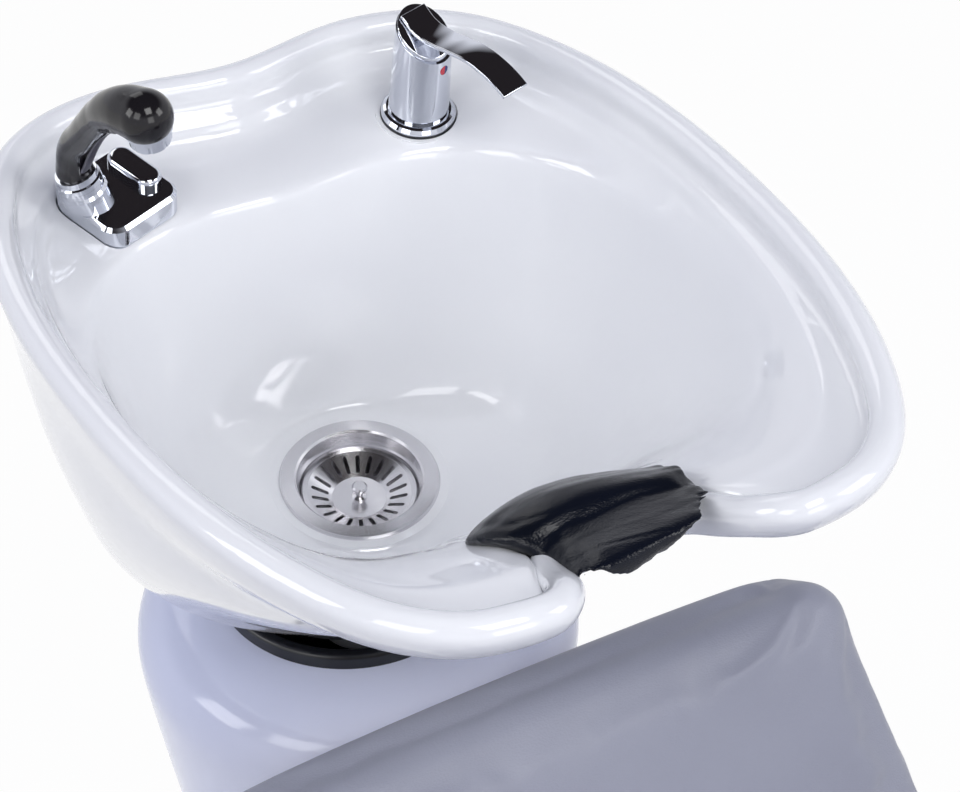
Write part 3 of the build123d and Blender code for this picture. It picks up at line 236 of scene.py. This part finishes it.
def vitreous_china():
    """Vitreous china, slip cast and glazed: a bright white body under a thick clear glaze. The
    glaze is glassy and flows a little, so reflections ripple softly, and it pools a cooler tone."""
    material, tree, shader, place = new_material("vitreous_china", {
        "Roughness": 0.07, "IOR": 1.52, "Coat Weight": 0.35, "Coat Roughness": 0.03,
    })
    pool = clouds(tree, place, 5.0, 2.0)
    tint(tree, shader, blend(tree, pool, "F0F1F3", "F4F5F6", 0.35, 0.65))
    raise_surface(tree, shader, clouds(tree, place, 28.0, 1.0), 0.05, 2 * mm)
    return material


def polished_chrome():
    """Brass, polished and chrome plated: a cool mirror with faint wiping marks."""
    material, tree, shader, place = new_material("chrome_plated_brass", {
        "Base Color": linear("D3D6DE"), "Metallic": 1.0,
    })
    rough = add(tree, "ShaderNodeMapRange", {
        "Value": clouds(tree, place, 90.0, 4.0), "To Min": 0.03, "To Max": 0.09})
    tree.links.new(rough.outputs["Result"], shader.inputs["Roughness"])
    return material


def pressed_stainless():
    """Stainless sheet, deep drawn and turned: bright grey with fine rings about the drain."""
    material, tree, shader, place = new_material("pressed_stainless", {
        "Base Color": linear("E4E3E6"), "Metallic": 1.0, "Roughness": 0.2,
    })
    centred = stretched(tree, place, location=(0.0, 0.0, -drain_height))
    level = stretched(tree, centred, rotation=(-drain_lean, 0.0, 0.0))
    rings = add(tree, "ShaderNodeTexWave", {
        "Vector": level, "Scale": 320.0, "Distortion": 1.5, "Detail": 2.0,
    }, wave_type="RINGS", rings_direction="Z")
    raise_surface(tree, shader, rings.outputs["Fac"], 0.08, 0.2 * mm)
    return material


def gloss_abs(name, code, roughness, grain, specular=0.5):
    """Injection moulded plastic: even colour and the slight waviness that moulded walls keep."""
    material, tree, shader, place = new_material(name, {
        "Base Color": linear(code), "Roughness": roughness, "IOR": 1.54,
        "Specular IOR Level": specular,
    })
    raise_surface(tree, shader, clouds(tree, place, grain, 2.0), 0.06, 1 * mm)
    return material


def black_rubber():
    """Moulded EPDM rubber: near black and matt, with a little bloom."""
    material, tree, shader, place = new_material("epdm_rubber", {"Roughness": 0.6, "IOR": 1.5})
    bloom = clouds(tree, place, 40.0, 5.0)
    tint(tree, shader, blend(tree, bloom, "15171A", "24262B"))
    raise_surface(tree, shader, bloom, 0.1, 1 * mm)
    return material


def powder_coat():
    """Steel, welded and powder coated black: satin, with the coat's fine orange peel."""
    material, tree, shader, place = new_material("powder_coated_steel", {
        "Base Color": linear("1D1E21"), "Roughness": 0.38, "IOR": 1.5,
    })
    raise_surface(tree, shader, clouds(tree, place, 600.0, 2.0), 0.15, 0.3 * mm)
    return material


def zinc_plate():
    """Steel fasteners, zinc plated: dull silver with a blue cast and a mottled surface."""
    material, tree, shader, place = new_material("zinc_plated_steel", {
        "Metallic": 1.0, "Roughness": 0.34,
    })
    tint(tree, shader, blend(tree, clouds(tree, place, 220.0, 4.0), "9CA0A8", "C3C7CE"))
    return material


def turned_brass():
    """Free-cutting brass, turned: warm yellow with tool rings."""
    material, tree, shader, place = new_material("turned_brass", {
        "Base Color": linear("C9A860"), "Metallic": 1.0, "Roughness": 0.28,
    })
    thread = add(tree, "ShaderNodeTexWave", {"Vector": place, "Scale": 220.0}, bands_direction="Z")
    raise_surface(tree, shader, thread.outputs["Fac"], 0.5, 0.8 * mm)
    return material


def birch_plywood():
    """Birch plywood: pale veneers with a long soft grain."""
    material, tree, shader, place = new_material("birch_plywood", {"Roughness": 0.55})
    long_grain = stretched(tree, place, scale=(4.0, 60.0, 60.0))
    tint(tree, shader, blend(tree, clouds(tree, long_grain, 3.0, 6.0), "A98B60", "D0B68C"))
    return material


def coated_leather(name, code, dark_code, pore, roughness, specular=0.5):
    """Leather or vinyl with a pigmented coat: an even colour, a fine pressed grain, a soft sheen."""
    material, tree, shader, place = new_material(name, {
        "Roughness": roughness, "IOR": 1.46, "Specular IOR Level": specular, "Sheen Weight": 0.05,
    })
    drawn = stretched(tree, place, scale=(0.55, 1.0, 1.0))
    cells = add(tree, "ShaderNodeTexVoronoi", {"Vector": drawn, "Scale": 1 / pore})
    patches = clouds(tree, place, 9.0, 4.0)
    tint(tree, shader, blend(tree, patches, dark_code, code, 0.3, 0.7))
    raise_surface(tree, shader, cells.outputs["Distance"], 0.22, 0.6 * mm)
    return material


def hot_cold_enamel():
    """Printed enamel, half red and half blue, for hot and cold."""
    material, tree, shader, place = new_material("hot_cold_enamel", {"Roughness": 0.15, "IOR": 1.5})
    across = mixer_frame.to_3x3() @ Vector((1.0, 0.0, 0.0))
    far = add(tree, "ShaderNodeVectorMath", {0: place, 1: across}, operation="DOT_PRODUCT")
    middle = across.dot(mixer_frame.translation) + dot_shift
    side = add(tree, "ShaderNodeMath", {0: far.outputs["Value"], 1: middle},
               operation="GREATER_THAN")
    tint(tree, shader, blend(tree, side.outputs[0], "D42438", "2A2F6E"))
    return material


china = vitreous_china()
chrome = polished_chrome()
stainless = pressed_stainless()
gloss_white = gloss_abs("gloss_white_abs", "E1E6FB", 0.12, 14.0)
gloss_black = gloss_abs("gloss_black_abs", "1B191C", 0.12, 60.0, 0.33)
grip_grey = gloss_abs("satin_grey_grip", "4A4954", 0.35, 200.0)
moulded_white = gloss_abs("moulded_polypropylene", "DADCDD", 0.42, 90.0)
collar_black = gloss_abs("satin_black_abs", "16181D", 0.3, 60.0)
hot_cold = hot_cold_enamel()
rubber = black_rubber()
coated_steel = powder_coat()
zinc = zinc_plate()
brass = turned_brass()
plywood = birch_plywood()
seat_leather = coated_leather("grey_coated_leather", "9C9EAB", "9698A5", 0.0011, 0.42)
neck_vinyl = coated_leather("black_neck_vinyl", "0A0F1C", "070B14", 0.0009, 0.2, 0.3)


# Soft goods

weld_reach = 0.02 * mm          # corners of the solid's faces this near become one
skin_rounds = 6                 # of relaxing a new cover
held_share = 0.6                # how squarely a face has to meet the board to be held by it
pressure = 4.0
solve_frames = 20
cover_cloth = {
    "use_pressure": True, "uniform_pressure_force": pressure, "mass": 0.3,
    "tension_stiffness": 20.0, "compression_stiffness": 20.0, "shear_stiffness": 10.0,
    "bending_stiffness": 2.0, "pin_stiffness": 1.0,
}


def skin_of(node, name, leather, voxel, slack):
    """A pad's cover: the solid's form, merged, remeshed and drawn in by the slack that the
    filling then takes up."""
    piece = link_new(name, nodes[node].data.copy())
    edit_whole()
    bpy.ops.mesh.remove_doubles(threshold=weld_reach)
    bpy.ops.mesh.normals_make_consistent(inside=False)
    bpy.ops.object.mode_set(mode="OBJECT")
    merge_evenly(piece, voxel, skin_rounds)
    edit_whole()
    bpy.ops.transform.shrink_fatten(value=-slack)
    bpy.ops.object.mode_set(mode="OBJECT")
    wear(piece.data, leather)
    return piece


def hold_back(piece, facing):
    """The vertices that lie against the board or the china, which the filling doesn't move."""
    held = piece.vertex_groups.new(name="held")
    direction = Vector(facing).normalized()
    for vertex in piece.data.vertices:
        if vertex.normal.dot(direction) > held_share:
            held.add([vertex.index], 1.0, "REPLACE")
    return held.name


def blow_up(piece, held, most):
    """Foam that fills its cover: cloth under pressure, with each point's travel capped."""
    start = [vertex.co.copy() for vertex in piece.data.vertices]
    cloth = piece.modifiers.new("cover", "CLOTH")
    for setting, value in cover_cloth.items():
        setattr(cloth.settings, setting, value)
    cloth.settings.effector_weights.gravity = 0.0
    cloth.settings.vertex_group_mass = held
    cloth.point_cache.frame_start = 1
    cloth.point_cache.frame_end = solve_frames
    for frame_number in range(1, solve_frames + 1):
        bpy.context.scene.frame_set(frame_number)
    solved = piece.evaluated_get(bpy.context.evaluated_depsgraph_get())
    moved = [vertex.co.copy() for vertex in solved.data.vertices]
    piece.modifiers.remove(cloth)
    for vertex, first, last in zip(piece.data.vertices, start, moved):
        travel = last - first
        if travel.length > most:
            travel *= most / travel.length
        vertex.co = first + travel
    bpy.context.scene.frame_set(1)


def upholster(node, name, body, leather, facing, voxel=6 * mm, slack=3 * mm, most=8 * mm,
              shaped=None, creased=None):
    """A finished pad in place of its plain solid."""
    piece = skin_of(node, name, leather, voxel, slack)
    if shaped:
        shaped(piece)
    blow_up(piece, hold_back(piece, facing), most)
    if creased:
        creased(piece)
    make_active(piece)
    modify(piece, "smooth", "SUBSURF", levels=1, render_levels=1)
    bpy.ops.object.shade_smooth()
    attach(piece, body)
    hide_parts(node)


upholster("back_cushion", "back_pad", "base", seat_leather, (0.0, 0.866, -0.5))
upholster("seat_cushion", "seat_pad", "base", seat_leather, (0.0, 0.0, -1.0))
for side in ("left", "right"):
    upholster(f"arm_pad_{side}", f"arm_rest_{side}", "base", seat_leather, (0.0, 0.0, -1.0),
              voxel=4 * mm, slack=1.5 * mm, most=4 * mm)


# The neck rest: a soft saddle of coated cloth, drawn round the china's edge and gathered at its
# right end. Places along it run from -1 at its left end to 1 at its right.

rest_centre = Vector((0.0, -317.2 * mm, 212.2 * mm))
rest_half = 53.3 * mm
rest_upward = Vector((0.0, 0.702, 0.712))       # up and back, across the saddle
rest_inward = Vector((0.0, 0.712, -0.702))      # down and back, into the bowl
rest_crown_shares = [           # how much of its solid's height it keeps above its middle
    (-1.0, 0.70), (-0.8, 0.72), (-0.5, 0.72), (0.0, 0.60), (0.35, 0.48), (0.7, 0.34), (1.0, 0.26),
]
rest_skirt_shares = [           # how far its front edge hangs lower than its solid
    (-1.0, 1.95), (-0.5, 1.7), (0.0, 1.42), (0.5, 1.28), (1.0, 1.3),
]
rest_hang = 42.0 * mm           # how far that edge comes forward, round the china's edge
rest_hang_depths = (5 * mm, 34 * mm)            # below its middle, where that starts and is full
rest_left_from = 0.45           # share of its left half that comes before the pointed end
rest_tip = 24.0 * mm            # how far that end reaches up the horn's inner side
rest_tip_heights = (-8 * mm, 18 * mm)           # about its middle, where that starts and is full
rest_droop = 9 * mm             # how far that end is lower
rest_voxel = 2.2 * mm
rest_rounds = 4                 # of relaxing the draped shape

# Creases across the cover: repeats per metre along, back and up, and depths in millimetres
dent_scales = (22, 44, 44)
crease_scales = (16, 48, 48)
crease_shift = 9
crease_from = 0.8               # only the sharpest fifth of the creases is cut in
gather_scale = 170
gathers_from = 0.68             # place along it where the gathers start
dent_depth = 1.1
crease_depth = 3.0
gather_depth = 2.4


def eased(value, low, high):
    """0 below low, 1 above high, and smooth between them."""
    share = min(max((value - low) / (high - low), 0.0), 1.0)
    return share * share * (3 - 2 * share)


def share_at(shares, where):
    """The share at one place, between the rows of a table."""
    for (low, first), (high, last) in zip(shares, shares[1:]):
        if where <= high:
            return first + (last - first) * max(where - low, 0.0) / (high - low)
    return shares[-1][1]


def shape_rest(piece):
    """Drapes the saddle: lower on top than its solid, round the china's front edge, and with a
    pointed left end."""
    to_basin = basin_frame.inverted()
    for vertex in piece.data.vertices:
        place = to_basin @ vertex.co - rest_centre
        along = place.x / rest_half
        height = place.dot(rest_upward)
        depth = place.dot(rest_inward)
        height *= share_at(rest_crown_shares if height > 0 else rest_skirt_shares, along)
        depth -= rest_hang * eased(-height, *rest_hang_depths)
        left = eased(-along, rest_left_from, 1.0)
        x = place.x - rest_tip * left * eased(height, *rest_tip_heights)
        height -= rest_droop * left * left
        drawn = Vector((x, 0.0, 0.0)) + rest_upward * height + rest_inward * depth
        vertex.co = basin_frame @ (drawn + rest_centre)
    make_active(piece)
    merge_evenly(piece, rest_voxel, rest_rounds)


def crease_rest(piece):
    """Dents across the cover, and deep gathers where it is drawn in at its right end."""
    to_basin = basin_frame.inverted()
    moves = []
    for vertex in piece.data.vertices:
        place = to_basin @ vertex.co - rest_centre
        slanted = (place.x * 0.5 + place.y, place.y, place.z)
        dent_place = Vector([part * scale for part, scale in zip(slanted, dent_scales)])
        crease_place = Vector([part * scale for part, scale in zip(slanted, crease_scales)])
        crease_place.x += crease_shift
        dents = noise.fractal(dent_place, 1.0, 2.0, 3)
        creases = 1 - abs(noise.noise(crease_place)) * 2
        gathers = noise.noise(Vector((0.3, place.y * gather_scale, place.z * gather_scale)))
        drawn = eased(place.x / rest_half, gathers_from, 1.0)
        moves.append(dents * dent_depth * mm - max(creases - crease_from, 0) * crease_depth * mm
                     + gathers * drawn * gather_depth * mm)
    for vertex, move in zip(piece.data.vertices, moves):
        vertex.co += vertex.normal * move


upholster("neck_rest", "neck_pad", "basin", neck_vinyl, (0.0, 0.2, -1.0),
          voxel=2.5 * mm, slack=1.0 * mm, most=2 * mm, shaped=shape_rest, creased=crease_rest)


# The handset's shell and the mixer's lever, with the flowing forms that their plain solids lack

# The handle's middle line in the handset's frame: reach, height and radius in millimetres
handle_line = [
    (0, 9.2, 13.0), (4, 20, 11.6), (14, 37, 10.9), (31, 53, 11.0), (50, 71, 11.3), (66, 84, 12.3),
    (82, 93.5, 14.6), (97, 98.5, 16.6), (110, 100, 17.4),
]
head_place = Vector((0.0, -112.0 * mm, 100.0 * mm))
head_radius = 17.6 * mm
head_tip = 12.0                 # degrees that the spray's axis leans back from the handset's own
head_cut = 7.65 * mm            # from the head's middle down to the spray ring
shell_voxel = 1.0 * mm
shell_rounds = 14               # of relaxing the shell
mouth_radius = 24 * mm          # of the cylinder that cuts the head off flat, and its length
mouth_length = 40 * mm

# The lever's side view in the mixer's frame: reach and height in millimetres
lever_line = [
    (-13, 85.4), (0, 79.4), (17, 80.2), (33.5, 84.4), (51, 88.0), (67, 87.6), (79, 85.2),
    (89, 81.6),
]
lever_width = 22 * mm
lever_thick = 3 * mm
lever_turn = -5.0               # degrees about the mixer, towards the sitter's left
slant_middle = 72 * mm          # height of the body's slanting top on its axis
slant_lean = 29.17              # degrees
cap_radius = 18.6 * mm
cap_blank = 80 * mm             # length of the cylinder that the cap is cut from
cap_bottom = 0.3 * mm           # the cap's two faces, above the body's slanting top
cap_top = 3.2 * mm
neck_radius = 6.5 * mm          # of the stub between cap and blade
neck_length = 10 * mm
neck_middle = 74.5 * mm
edge_width = 0.8 * mm           # of the rounding that polishing leaves
edge_angle = 40                 # degrees from which an edge is rounded
smooth_angle = 35               # degrees up to which faces are shaded as one


def line_mesh(name, knots, **settings):
    """A smooth line through knots, each a place and a radius, as a mesh."""
    line = bpy.data.curves.new(name, "CURVE")
    for setting, value in settings.items():
        setattr(line, setting, value)
    spline = line.splines.new("BEZIER")
    spline.bezier_points.add(len(knots) - 1)
    for knot, (place, radius) in zip(spline.bezier_points, knots):
        knot.co = place
        knot.radius = radius
        knot.handle_left_type = "AUTO"
        knot.handle_right_type = "AUTO"
    link_new(name, line)
    bpy.ops.object.convert(target="MESH")
    return bpy.context.view_layer.objects.active


def cylinder(vertices, radius, length, middle):
    """An upright cylinder, with its middle at a height on the Z axis."""
    deselect()
    bpy.ops.mesh.primitive_cylinder_add(vertices=vertices, radius=radius, depth=length,
                                        location=(0.0, 0.0, middle))
    return bpy.context.active_object


def round_edges(piece):
    """Narrow rounded edges, as polishing leaves them."""
    make_active(piece)
    modify(piece, "edges", "BEVEL", width=edge_width, segments=3, limit_method="ANGLE",
           angle_limit=radians(edge_angle))


def finish_rigid(piece, body, node, material, place):
    """Puts a rigid piece in its place with smooth faces and a material, instead of its CAD node."""
    wear(piece.data, material)
    piece.matrix_world = place
    apply_place(piece)
    bpy.ops.object.shade_smooth_by_angle(angle=radians(smooth_angle))
    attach(piece, body)
    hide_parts(node)


def handset_shell():
    """The handle and head as one moulding: the handle swells into the head without a break."""
    knots = [((0.0, -reach * mm, height * mm), radius) for reach, height, radius in handle_line]
    piece = line_mesh("handset_shell", knots, dimensions="3D", bevel_depth=mm,
                      bevel_resolution=12, resolution_u=12, use_fill_caps=True)
    deselect()
    bpy.ops.mesh.primitive_uv_sphere_add(segments=64, ring_count=32, radius=head_radius,
                                         location=head_place)
    join_into(piece, bpy.context.active_object)
    merge_evenly(piece, shell_voxel, shell_rounds)
    mouth = cylinder(64, mouth_radius, mouth_length, -head_cut - mouth_length / 2)
    spray_place = Matrix.Translation(head_place) @ turned_by("X", head_tip)
    mouth.matrix_world = spray_place @ mouth.matrix_world
    apply_place(mouth)
    make_active(piece)
    modify(piece, "mouth", "BOOLEAN", operation="DIFFERENCE", object=mouth)
    bpy.data.objects.remove(mouth)
    finish_rigid(piece, "handset", "handset_body", gloss_black, handset_frame)


def mixer_blade():
    """The lever: a thin wavy blade on a slanting cap that closes the body's mouth."""
    knots = [((reach * mm, height * mm, 0.0), 1.0) for reach, height in lever_line]
    blade = line_mesh("lever_blade", knots, dimensions="2D", fill_mode="NONE",
                      extrude=lever_width / 2, resolution_u=10)
    blade.matrix_world = turned_by("Z", -90.0) @ turned_by("X", 90.0)
    apply_place(blade)
    modify(blade, "thick", "SOLIDIFY", thickness=lever_thick, offset=0.0)
    round_edges(blade)

    cap = cylinder(96, cap_radius, cap_blank, slant_middle)
    upward = turned_by("X", slant_lean).to_3x3() @ Vector((0.0, 0.0, 1.0))
    for rise, side in ((cap_bottom, -1), (cap_top, 1)):
        edit_whole()
        bpy.ops.mesh.bisect(plane_co=Vector((0.0, 0.0, slant_middle)) + upward * rise,
                            plane_no=upward * side, use_fill=True, clear_outer=True)
        bpy.ops.object.mode_set(mode="OBJECT")
    round_edges(cap)

    join_into(blade, cap, cylinder(48, neck_radius, neck_length, neck_middle))
    finish_rigid(blade, "lever", "mixer_lever", chrome, mixer_frame @ turned_by("Z", lever_turn))


handset_shell()
mixer_blade()


# Nodes whose solid is already the right shape

dress(china, "basin")
dress(stainless, "waste_flange", "strainer_basket", "basket_knob")
dress(chrome, "mixer_body", "holder_plate", "holder_boss", "holder_socket",
      "handset_ferrule", "spray_ring", "arm_left", "arm_right")
dress(grip_grey, "handset_inlay", "spray_face")
dress(gloss_white, "pedestal_shell", "service_door")
dress(collar_black, "collar_ring")
dress(hot_cold, "mixer_dot")
dress(moulded_white, "waste_lock_nut", "waste_trap", "mixer_cartridge", "friction_washers")
dress(rubber, "basin_skirt", "waste_gasket", "mixer_gasket", "mixer_washer", "holder_washer",
      "floor_pads")
dress(brass, "mixer_shank", "mixer_nut", "mixer_inlets", "holder_shank", "holder_nut")
dress(zinc, "bracket_bolts", "pivot_bolts", "pivot_nuts", "door_screws", "foot_bolts", "seat_bolts")
dress(coated_steel, "basin_bracket", "tilt_cradle", "column", "floor_plate", "back_bars",
      "seat_rails", "seat_crossbars", "seat_post")
dress(plywood, "seat_board", "back_board")


# Floor, light and camera


def pale_floor():
    """A plain floor that shows white to the camera and to reflections, with the unit's soft
    shadow."""
    deselect()
    bpy.ops.mesh.primitive_plane_add(size=floor_size, location=(0, 0, -floor_sink))
    floor = bpy.context.active_object
    floor.name = "floor"
    material = bpy.data.materials.new("white_studio_floor")
    material.use_nodes = True
    tree = material.node_tree
    tree.nodes.clear()
    matt = add(tree, "ShaderNodeBsdfDiffuse", {"Color": linear("EDEDF0")})
    glow = add(tree, "ShaderNodeEmission", {"Color": (1, 1, 1, 1), "Strength": 1.0})
    rays = add(tree, "ShaderNodeLightPath").outputs
    seen = add(tree, "ShaderNodeMath", {0: rays["Is Camera Ray"], 1: rays["Is Glossy Ray"]},
               operation="MAXIMUM")
    through = add(tree, "ShaderNodeMath", {0: seen.outputs[0], 1: rays["Is Transmission Ray"]},
                  operation="MAXIMUM")
    share = add(tree, "ShaderNodeMath", {0: through.outputs[0], 1: floor_glow},
                operation="MULTIPLY")
    mixed = add(tree, "ShaderNodeMixShader", {
        0: share.outputs[0], 1: matt.outputs[0], 2: glow.outputs[0]})
    add(tree, "ShaderNodeOutputMaterial", {"Surface": mixed.outputs[0]})
    floor.data.materials.append(material)


def studio_world():
    """An even pale room: white to the camera, soft to matt surfaces, and to mirrors a bright
    horizon under a dark ceiling."""
    world = bpy.data.worlds.new("studio")
    bpy.context.scene.world = world
    world.use_nodes = True
    tree = world.node_tree
    tree.nodes.clear()
    rays = add(tree, "ShaderNodeLightPath").outputs
    way = add(tree, "ShaderNodeTexCoord").outputs["Generated"]
    height = add(tree, "ShaderNodeSeparateXYZ", {"Vector": way}).outputs["Z"]
    ceiling = blend(tree, height, "F4F5FB", "2A2628", 0.35, 0.62)
    soft, mirror, plain = [
        add(tree, "ShaderNodeBackground", {"Color": colour, "Strength": strength}).outputs[0]
        for colour, strength in (
            (linear(shade_colour), shade_strength), (ceiling, 1.0), ((1, 1, 1, 1), 1.0))]
    glossy = add(tree, "ShaderNodeMixShader", {0: rays["Is Glossy Ray"], 1: soft, 2: mirror})
    camera = add(tree, "ShaderNodeMixShader", {
        0: rays["Is Camera Ray"], 1: glossy.outputs[0], 2: plain})
    add(tree, "ShaderNodeOutputWorld", {"Surface": camera.outputs[0]})


def area_lamp(name, place, target, side, watts):
    """A square soft box at a place, aimed at a target."""
    lamp = bpy.data.lights.new(name, "AREA")
    lamp.shape = "RECTANGLE"
    lamp.size = side
    lamp.size_y = side
    lamp.energy = watts
    holder = bpy.data.objects.new(name, lamp)
    bpy.context.scene.collection.objects.link(holder)
    holder.location = place
    holder.rotation_euler = (target - place).to_track_quat("-Z", "Y").to_euler()


def studio_lamps():
    """Soft boxes all at one distance: most of the light comes from the front and the left."""
    centre = Vector(lamp_target)
    for name, azimuth, elevation, watts in soft_boxes:
        away = Vector((0.0, -lamp_distance, 0.0))
        away.rotate(Euler((radians(-elevation), 0.0, radians(azimuth))))
        area_lamp(name, centre + away, centre, lamp_side, watts)


def photo_camera():
    """The photograph's viewpoint and lens."""
    lens = bpy.data.cameras.new("photo")
    lens.sensor_width = sensor_width
    lens.lens = sensor_width * focal_px / photo_width
    camera = bpy.data.objects.new("photo", lens)
    bpy.context.scene.collection.objects.link(camera)
    camera.location = camera_place
    camera.rotation_euler = (radians(90 - camera_elevation), 0, radians(-camera_azimuth))
    bpy.context.scene.camera = camera


pale_floor()
studio_world()
studio_lamps()
photo_camera()
bpy.context.scene.view_settings.view_transform = "Standard"
